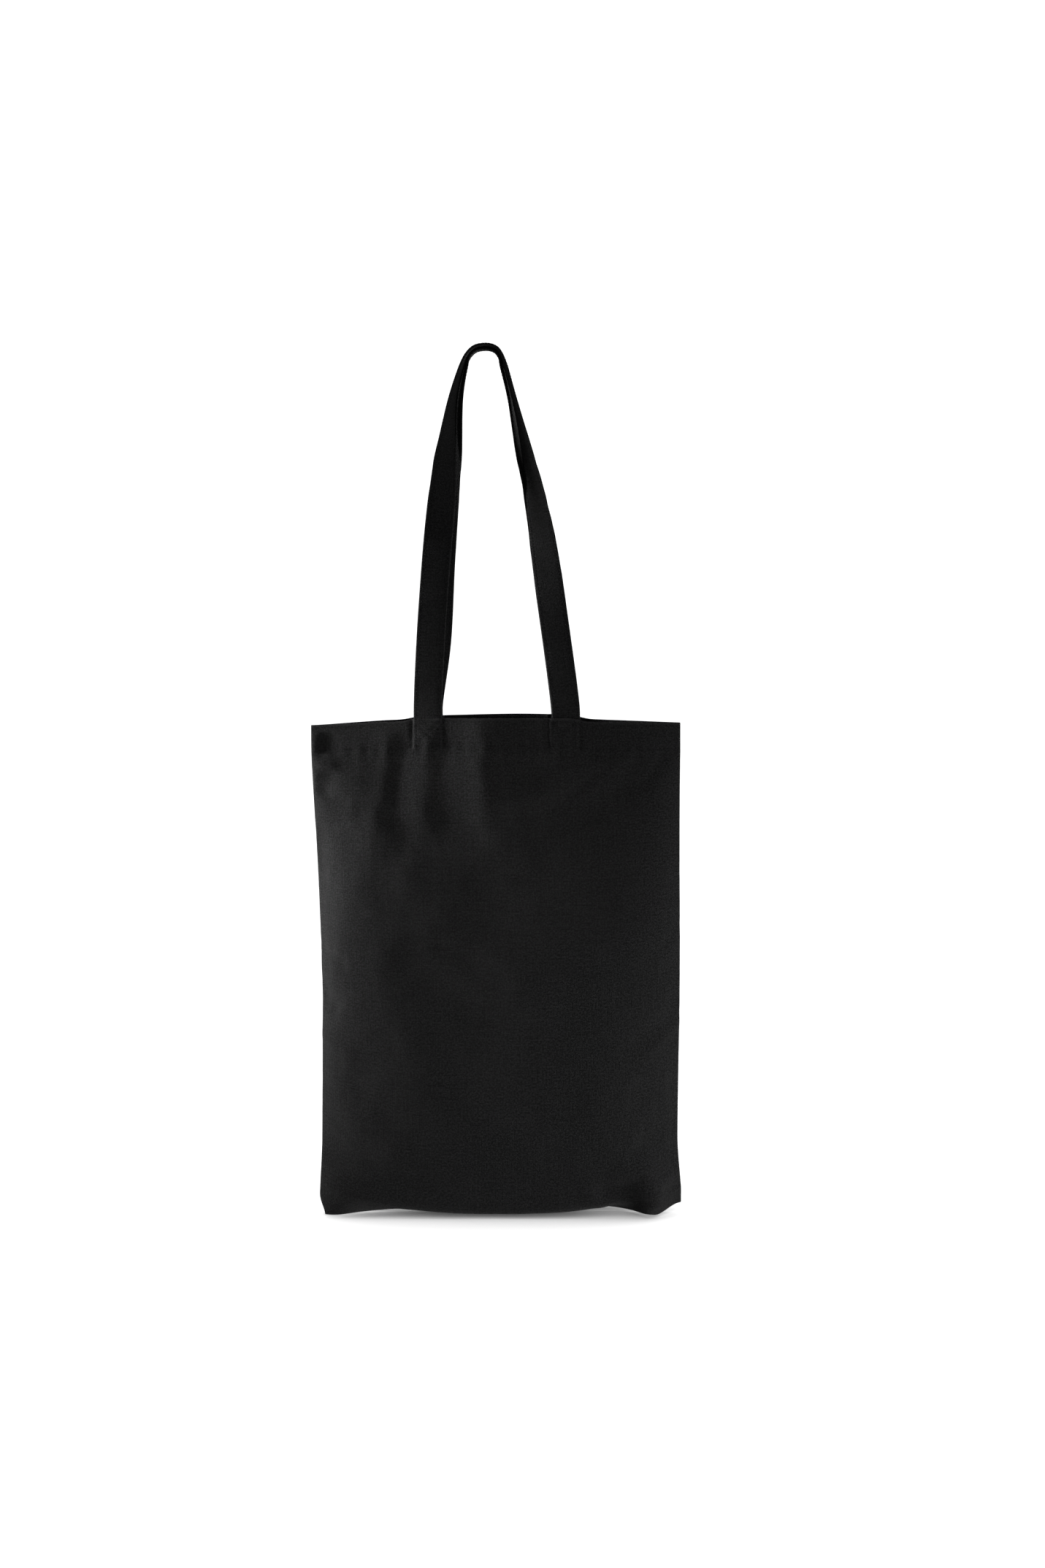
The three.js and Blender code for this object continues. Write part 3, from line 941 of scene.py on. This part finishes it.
# the two handles: one strap each, sewn inside the hem at both ends
strap = {
    "width": endHigh.x - endLow.x + 0.5 * mm,
    "plies": 1.9 * mm,
    "crestPlies": 2.5 * mm,  # fuller where the two straps are pressed together
    "fullerAt": (0.7, 0.95),  # shares of the rise, as for the other pairs called At
    "crown": 0.12,  # mm, down the middle
    "groove": 0.25,  # mm, along the two rows of stitches
    "rowAt": 10.2,  # mm from the middle
    "ripple": 0.9,  # mm
    "rippleLength": 34,  # mm
    "curl": 0.6,  # mm
    "curlLength": 21,  # mm
    "flatEnd": (26, 56),  # mm from the sewn ends where the ripple starts and is full
    "calmAt": (0.6, 0.85),
    "closing": 0.45,  # mm that the facing edges curl towards each other near the peg
    "closingAt": (0.84, 0.92),
    "legStep": 3.8 * mm,  # the back strap lies this far inside the front one
    "legStepAt": ((0.08, 0.25), (0.45, 0.7)),  # left leg, right leg
    "sway": 2.0 * mm,  # how far the back one swings in low on the legs
    "swayAt": (0.21, 0.15),
    "widest": 5.4 * mm,  # the most they part where they turn
    "pressedAt": (0.5, 0.72),
    "crestGap": 0.08 * mm,
    "crestHalf": 6.5 * mm,
    "twistAt": ((0.42, 0.98), (0.2, 0.93)),
    "turned": 86,  # degrees
    "turnEndAt": (0.94, 0.98),
    "bendFrom": 2 * mm,  # under the hem's edge, where a folded handle starts to bend
    "bendTo": 22 * mm,  # above it, where the bend ends
    "step": 1.4 * mm,
    # the outer strap's middle line seen from the front: mm across, mm above the hem
    "line": [
        (-62, -23.5), (-62, -12), (-62, 1), (-61.9, 11), (-59.4, 68), (-53.8, 146),
        (-48.4, 203), (-44.6, 242), (-38.3, 288), (-31, 314), (-26.4, 324.5), (-20, 330.5),
        (-12, 332.4), (-5, 332), (0.5, 329.5), (4.3, 324.5), (8, 314), (15, 288), (24.6, 249),
        (37.4, 185), (50.5, 94), (61.6, 11), (62, 1), (62, -12), (62, -23.5),
    ],
}
endDepth = -(endLow.y + endHigh.y) / 2
hemTurn = math.atan(2 * stand["mouthDepth"] * handleX / stand["hemHalf"] ** 2)


# evenly spaced points along a smooth line through the given ones
def smoothLine(points, step):
    points = np.asarray(points, float)
    points = np.concatenate([2 * points[:1] - points[1:2], points, 2 * points[-1:] - points[-2:-1]])
    knots = np.concatenate([[0], np.cumsum(np.linalg.norm(np.diff(points, axis=0), axis=1) ** 0.5)])
    dense = []
    for k in range(1, len(points) - 2):
        t0, t1, t2, t3 = knots[k - 1 : k + 3]
        t = np.linspace(t1, t2, 40, endpoint=False)[:, None]
        a = [(points[k - 1 + j] * (knots[k + j] - t) + points[k + j] * (t - knots[k - 1 + j]))
             / (knots[k + j] - knots[k - 1 + j]) for j in range(3)]
        b0 = (a[0] * (t2 - t) + a[1] * (t - t0)) / (t2 - t0)
        b1 = (a[1] * (t3 - t) + a[2] * (t - t1)) / (t3 - t1)
        dense.append((b0 * (t2 - t) + b1 * (t - t1)) / (t2 - t1))
    dense = np.concatenate(dense + [points[-2:-1]])
    along = np.concatenate([[0], np.cumsum(np.linalg.norm(np.diff(dense, axis=0), axis=1))])
    even = np.linspace(0, along[-1], round(along[-1] / step) + 1)
    return np.stack([np.interp(even, along, dense[:, k]) for k in range(3)], -1)


# how far each leg has turned at a share of the rise, with the last few degrees at the peg
def strapTurn(rise, onRight):
    last = (90 - strap["turned"]) * fadeIn(rise, *strap["turnEndAt"])
    left, right = (strap["turned"] * fadeIn(rise, *span) + last for span in strap["twistAt"])
    return np.radians(np.where(onRight, right, left))


# middle line, across and outward directions, and the rise along one handle
def strapFrames(side):
    sign = -1 if side == 0 else 1
    line = np.array([(x, 0, z) for x, z in strap["line"]]) * mm
    line[:, 2] += hemTop
    crest = line[:, 2].max()
    rise = np.clip((line[:, 2] - hemTop) / (crest - hemTop), 0, 1)
    way = unit(np.gradient(line, axis=0))
    inward = np.stack([way[:, 2], 0 * rise, -way[:, 0]], -1)
    depth = endDepth + (strap["crestHalf"] - endDepth) * rise
    if side == 1:
        onRight = np.arange(len(line)) > line[:, 2].argmax()
        left, right = (fadeIn(rise, *span) for span in strap["legStepAt"])
        swayAt = np.where(onRight, strap["swayAt"][1], strap["swayAt"][0])
        apart = strap["legStep"] * np.where(onRight, right, left)
        apart += strap["sway"] * bump(rise - swayAt, 0.09)
        # where they have turned, one lies on the other with hardly a gap
        turn = strapTurn(rise, onRight)
        full = strap["crestPlies"] + strap["crestGap"]
        pressed = strap["width"] * np.cos(turn) - 1.85 * depth / np.tan(turn + 1e-6) + full
        pressed = np.clip(pressed, full, strap["widest"])
        apart += (pressed - apart) * fadeIn(rise, *strap["pressedAt"])
        line += inward * apart[:, None]
    line[:, 1] = sign * depth
    middle = smoothLine(line, strap["step"])
    way = unit(np.gradient(middle, axis=0))
    rise = np.clip((middle[:, 2] - hemTop) / (crest - hemTop), 0, 1)
    onRight = np.arange(len(middle)) > middle[:, 2].argmax()
    turn = strapTurn(rise, onRight)[:, None]
    yaw = -sign * np.sign(middle[:, 0]) * hemTurn * (1 - np.clip(rise * 8, 0, 1))
    front = np.stack([np.sin(yaw), -np.cos(yaw), 0 * yaw], -1)
    front = unit(front - way * (front * way).sum(-1, keepdims=True))
    # both outer faces turn in towards the peg
    sideways = -sign * unit(np.stack([way[:, 2], 0 * rise, -way[:, 0]], -1))
    face = unit(front * np.cos(turn) + sideways * np.sin(turn))
    across = unit(np.cross(face, way))
    face = np.cross(way, across)
    return middle, across, face, rise


handleFrames = [strapFrames(0), strapFrames(1)]


# points of a strap at step k of its length and a mm across; top is 1 on its outer face
# and -1 on its inner face
def strapPoint(side, k, a, top, raised=0.0):
    middle, across, face, rise = handleFrames[side]
    k = np.clip(np.asarray(k, float), 0, len(middle) - 1)
    low = np.minimum(k.astype(int), len(middle) - 2)
    part = (k - low)[..., None]

    def at(values):
        return values[low] * (1 - part) + values[low + 1] * part

    along = k * strap["step"] / mm
    half = strap["width"] / mm / 2
    share = np.clip(np.abs(a) / half, 0, 1)
    up = at(rise[:, None])[..., 0]
    fuller = (strap["crestPlies"] - strap["plies"]) * fadeIn(up, *strap["fullerAt"])
    plies = strap["plies"] + fuller
    thick = plies / mm / 2 * np.sqrt(np.clip(1 - share**14, 0, 1))
    thick = thick - strap["groove"] * bump(np.abs(a) - strap["rowAt"], 0.9) * (share < 0.97)
    thick = thick + strap["crown"] * bump(a, 5)
    waves = along / strap["rippleLength"]
    where = np.stack(np.broadcast_arrays(waves, 0.0 * a, 9.0 + 5 * side), -1)
    wave = softNoise(where, 1, 2.0) + 0.6 * softNoise(where * (2.6, 1, 1), 1, 8.0)
    curls = along / strap["curlLength"]
    where = np.stack(np.broadcast_arrays(curls, np.sign(a) * 4.0, 3.0 + 5 * side), -1)
    curl = softNoise(where, 1, 5.0) * share**2
    nearEnd = np.minimum(along, (len(middle) - 1) * strap["step"] / mm - along)
    calm = fadeIn(nearEnd, *strap["flatEnd"]) * (1 - fadeIn(up, *strap["calmAt"]))
    shift = (strap["ripple"] * wave + strap["curl"] * curl) * calm
    closing = strap["closing"] * fadeIn(up, *strap["closingAt"])
    facing = np.clip(a if side else -a, 0, None) / half
    shift = shift + closing * facing**3 * (-1 if side else 1)
    offset = shift + top * (thick + raised)
    return at(middle) + at(across) * (a * mm)[..., None] + unit(at(face)) * (offset * mm)[..., None]


def makeStrap(side):
    half = strap["width"] / mm / 2
    fine = np.array([half, half - 0.15, half - 0.6, half - 1.3, 10.7, 10, 9.3, 8.2, 5.5, 2.6])
    a = np.concatenate([-fine, [0], fine[::-1]])
    loopA = np.concatenate([a, a[-2:0:-1]])
    top = np.concatenate([np.ones(len(a)), -np.ones(len(a) - 2)])
    steps = np.arange(len(handleFrames[side][0]))
    gridK, gridA = np.meshgrid(steps, loopA, indexing="ij")
    gridTop = np.broadcast_to(top, gridK.shape)
    points = strapPoint(side, gridK, gridA, gridTop)
    around = len(loopA)
    faces = gridFaces(len(steps), around, closed=True).tolist()
    last = (len(steps) - 1) * around
    faces += [list(range(around))[::-1], list(range(last, last + around))]
    uvs = np.stack([gridA + 30 * (gridTop < 0), gridK * strap["step"] / mm], -1).reshape(-1, 2) * mm
    name = f"{sideNames[side]}Handle"
    piece = addMesh(f"{name}Strap", points.reshape(-1, 3), faces, uvs=uvs)
    # painted highlight, together with wear: lighter along both edges of the strap
    setWearAndHighlight(piece, 0.9 * bump(half - np.abs(gridA), 0.8))
    node = f"{sideNames[side]}_handle"
    finishPiece(piece, "strap", [], [node, f"{node}_left_end", f"{node}_right_end"])
    overHem(piece)
    return piece


# bakes the piece's placing into its mesh points
def overHem(piece):
    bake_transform(piece)


straps = [makeStrap(side) for side in (0, 1)]
print("handles ready")


# sewing: every stitch is a short bowed thread whose ends go down into the cloth
stitch = {
    "length": 3.0,  # mm from hole to hole
    "gap": 0.55,  # mm of cloth between two stitches
    "radius": 0.24,  # mm
    "strapEnd": 25,  # mm inside the hem at each end of a strap, without edge stitches
    "seamEnd": 3,  # mm from a side seam to the first stitch of a row round the hem
    "sides": 6,
    # share of the length, height and thickness in radii
    "rings": ((0, -1.1, 0.7), (0.16, 0.1, 1), (0.5, 0.4, 1.1), (0.84, 0.1, 1), (1, -1.1, 0.7)),
}


# one mesh of stitches: holes is [n, 2, 3] points, up is [n, 3]
def stitchMesh(name, holes, up):
    radius = stitch["radius"] * mm
    rings = stitch["rings"]
    sides = stitch["sides"]
    way = unit(holes[:, 1] - holes[:, 0])
    up = unit(up - way * (up * way).sum(-1, keepdims=True))
    beside = np.cross(way, up)
    turn = np.arange(sides) * 2 * math.pi / sides
    points = []
    for share, height, fat in rings:
        middle = holes[:, 0] * (1 - share) + holes[:, 1] * share + up * height * radius
        ring = beside[:, None] * np.cos(turn)[:, None] + up[:, None] * np.sin(turn)[:, None]
        points.append(middle[:, None] + ring * radius * fat)
    points = np.stack(points, 1)  # stitch, ring, side
    count, ringCount = points.shape[:2]
    each = gridFaces(ringCount, sides, closed=True)
    caps = np.arange(sides) + [[0], [(ringCount - 1) * sides]]
    faces = []
    for n in range(count):
        base = n * ringCount * sides
        faces += (each + base).tolist()
        faces += [(caps[0] + base).tolist(), (caps[1] + base).tolist()[::-1]]
    long = np.linalg.norm(holes[:, 1] - holes[:, 0], axis=1)
    shares = np.array([r[0] for r in rings])
    u = (long[:, None] * shares[None, :])[..., None] + np.zeros(sides)
    v = np.broadcast_to(turn * radius, u.shape)
    return addMesh(name, points.reshape(-1, 3), faces, uvs=np.stack([u, v], -1).reshape(-1, 2))


# where each stitch starts and ends along a row
def stitchSpans(length):
    count = max(1, round(length / stitch["length"]))
    edges = np.linspace(0, length, count + 1)
    return np.stack([edges[:-1] + stitch["gap"] / 2, edges[1:] - stitch["gap"] / 2], -1)


# a row round the hem, outside and inside, at v mm under the edge
def hemStitches(name, v, nodes):
    half = cut["width"] / mm / 2 - stitch["seamEnd"]
    spans = stitchSpans(2 * half) - half
    holes = []
    up = []
    for side in (0, 1):
        for depth, way in ((0, 1), (-cut["hemPlies"] / mm, -1)):
            place, out = bagPoint(side, spans, v + 0 * spans, depth)
            holes.append(place)
            up.append(out.mean(1) * way)
    piece = stitchMesh(name, np.concatenate(holes), np.concatenate(up))
    return finishPiece(piece, "thread", ["bag"], nodes)


def boxStitches(side, hand):
    centre = handleX / mm * (-1 if hand == "left" else 1)
    holes = []
    up = []
    for start, end in boxLines(centre):
        start = np.array(start)
        end = np.array(end)
        length = np.linalg.norm(end - start)
        share = stitchSpans(length) / length
        flat = start + (end - start) * share[..., None]
        place, out = bagPoint(side, flat[..., 0], flat[..., 1])
        holes.append(place)
        up.append(out.mean(1))
    face = sideNames[side]
    name = f"{face}{hand.capitalize()}BoxStitch"
    piece = stitchMesh(name, np.concatenate(holes), np.concatenate(up))
    return finishPiece(piece, "thread", ["bag"], [f"{face}_{hand}_box_stitch"])


# one edge's row of stitches, on both faces of a strap
def strapStitches(side, edge):
    a = strap["rowAt"] * (1 if edge == "outer" else -1)
    total = (len(handleFrames[side][0]) - 1) * strap["step"] / mm
    spans = stitchSpans(total - 2 * stitch["strapEnd"]) + stitch["strapEnd"]
    k = spans * mm / strap["step"]
    face = handleFrames[side][2][np.round(k.mean(1)).astype(int)]
    holes = []
    up = []
    for top in (1, -1):
        holes.append(strapPoint(side, k, a + 0 * k, top))
        up.append(face * top)
    body = f"{sideNames[side]}_handle"
    name = f"{sideNames[side]}Handle{edge.capitalize()}Stitches"
    piece = stitchMesh(name, np.concatenate(holes), np.concatenate(up))
    finishPiece(piece, "thread", [], [f"{body}_{edge}_edge_stitching"])
    overHem(piece)
    return piece


hemStitches("hemTopStitches", hemLook["topRow"], ["hem_top_stitching"])
hemStitches("hemLowStitches", hemLook["lowRow"], ["hem_lower_stitching"])
for side in (0, 1):
    for hand in ("left", "right"):
        boxStitches(side, hand)
    for edge in ("inner", "outer"):
        strapStitches(side, edge)
print("stitches ready")


# seam allowances inside, their edges overlocked
seamLook = {
    "width": 8.5,  # mm
    "plies": 1.5,
    "inset": 3.6,  # mm from the seam to where the allowance can lie flat
    "wave": 1.0,
    "loop": 2.3,  # mm from one overlock loop to the next
    "threadRadius": 0.2,
    "sideSteps": 130,
    "bottomHalf": 142,
    "bottomSteps": 110,
}


# a tube round a line of points: points and faces
def sweep(line, radius, sides=5):
    way = unit(np.gradient(line, axis=0))
    guide = np.where(np.abs(way[:, 1:2]) < 0.9, [[0, 1.0, 0]], [[1.0, 0, 0]])
    beside = unit(np.cross(way, guide))
    over = np.cross(beside, way)
    turn = np.arange(sides) * 2 * math.pi / sides
    ring = beside[:, None] * np.cos(turn)[:, None] + over[:, None] * np.sin(turn)[:, None]
    points = (line[:, None] + ring * radius).reshape(-1, 3)
    faces = gridFaces(len(line), sides, closed=True, flip=True).tolist()
    last = (len(line) - 1) * sides
    faces += [list(range(sides)), list(range(last, last + sides))[::-1]]
    return points, faces


# a folded seam allowance along a line of points, with overlock loops over its edge
def makeAllowance(name, edge, inward, node):
    count = len(edge)
    along = np.concatenate([[0], np.cumsum(np.linalg.norm(np.diff(edge, axis=0), axis=1))]) / mm
    flat = np.stack([along / 26, 0 * along, 0 * along], -1)
    sway = softNoise(flat, 1, 4.4) * seamLook["wave"]
    out = unit(np.cross(unit(np.gradient(edge, axis=0)), inward))
    halfPly = seamLook["plies"] / 2
    profile = [(0, -0.7), (2.2, -1), (5, -1), (7.6, -1), (8.3, -0.6), (8.5, 0)]
    profile += [(d, -t) for d, t in profile[-2::-1]]
    rings = []
    for d, t in profile:
        lean = sway * (d / seamLook["width"]) ** 1.5
        place = edge + inward * (seamLook["inset"] + d) * mm
        rings.append(place + out * ((t * halfPly + lean) * mm)[:, None])
    grid = np.stack(rings, 1)
    around = len(profile)
    faces = gridFaces(count, around, closed=True).tolist()
    faces += [list(range(around))[::-1], list(range((count - 1) * around, count * around))]
    side = np.cumsum([0] + [math.dist(profile[k], profile[k - 1]) for k in range(1, around)])
    uvs = np.stack(np.broadcast_arrays(side[None, :], along[:, None]), -1).reshape(-1, 2) * mm
    strip = addMesh(name + "Allowance", grid.reshape(-1, 3), faces, uvs=uvs)
    setWearAndHighlight(strip, np.zeros(count * around))
    finishPiece(strip, "canvas", ["bag"], [node])
    # each loop goes over the edge and back, as seen along the seam
    over = [(5.0, 1.35), (7.0, 1.3), (8.6, 1.0), (9.0, 0), (8.6, -1.0), (7.0, -1.3)]
    loopPath = [*over, (5.0, -1.35), *over[:0:-1]]
    loops = int(along[-1] / seamLook["loop"])
    line = []
    for n in range(loops):
        for k, (d, t) in enumerate(loopPath):
            s = (n + (k + 0.5) / len(loopPath)) * seamLook["loop"]
            at = np.array([np.interp(s, along, edge[:, j]) for j in range(3)])
            lean = np.interp(s, along, sway) * (d / seamLook["width"]) ** 1.5
            normal = np.array([np.interp(s, along, out[:, j]) for j in range(3)])
            toward = np.array([np.interp(s, along, inward[:, j]) for j in range(3)])
            line.append(at + (toward * (seamLook["inset"] + d) + normal * (t * 0.72 + lean)) * mm)
    points, tube = sweep(np.array(line), seamLook["threadRadius"] * mm)
    uvs = np.stack([points[:, 2], points[:, 0]], -1)
    thread = addMesh(name + "Overlock", points, tube, uvs=uvs)
    return finishPiece(thread, "thread", ["bag"], [node])


# the middle of a seam between the panels' inner faces
def seamEdge(x, v):
    front, _ = bagPoint(0, x, v)
    back, _ = bagPoint(1, x, v)
    return (front + back) / 2


seamV = np.linspace(cut["hem"] / mm + 5, cut["length"] / mm - 16, seamLook["sideSteps"])
for name, sign in (("left", -1), ("right", 1)):
    edge = seamEdge(sign * cut["width"] / mm / 2 + 0 * seamV, seamV)
    inward = np.tile([-sign * 1.0, 0, 0], (len(seamV), 1))
    makeAllowance(f"{name}Seam", edge, inward, f"{name}_seam_overlock")
seamX = np.linspace(-seamLook["bottomHalf"], seamLook["bottomHalf"], seamLook["bottomSteps"])
edge = seamEdge(seamX, cut["length"] / mm + 0 * seamX)
upward = np.tile([0, 0, 1.0], (len(seamX), 1))
makeAllowance("bottomSeam", edge, upward, "bottom_seam_overlock")
print("seams ready")
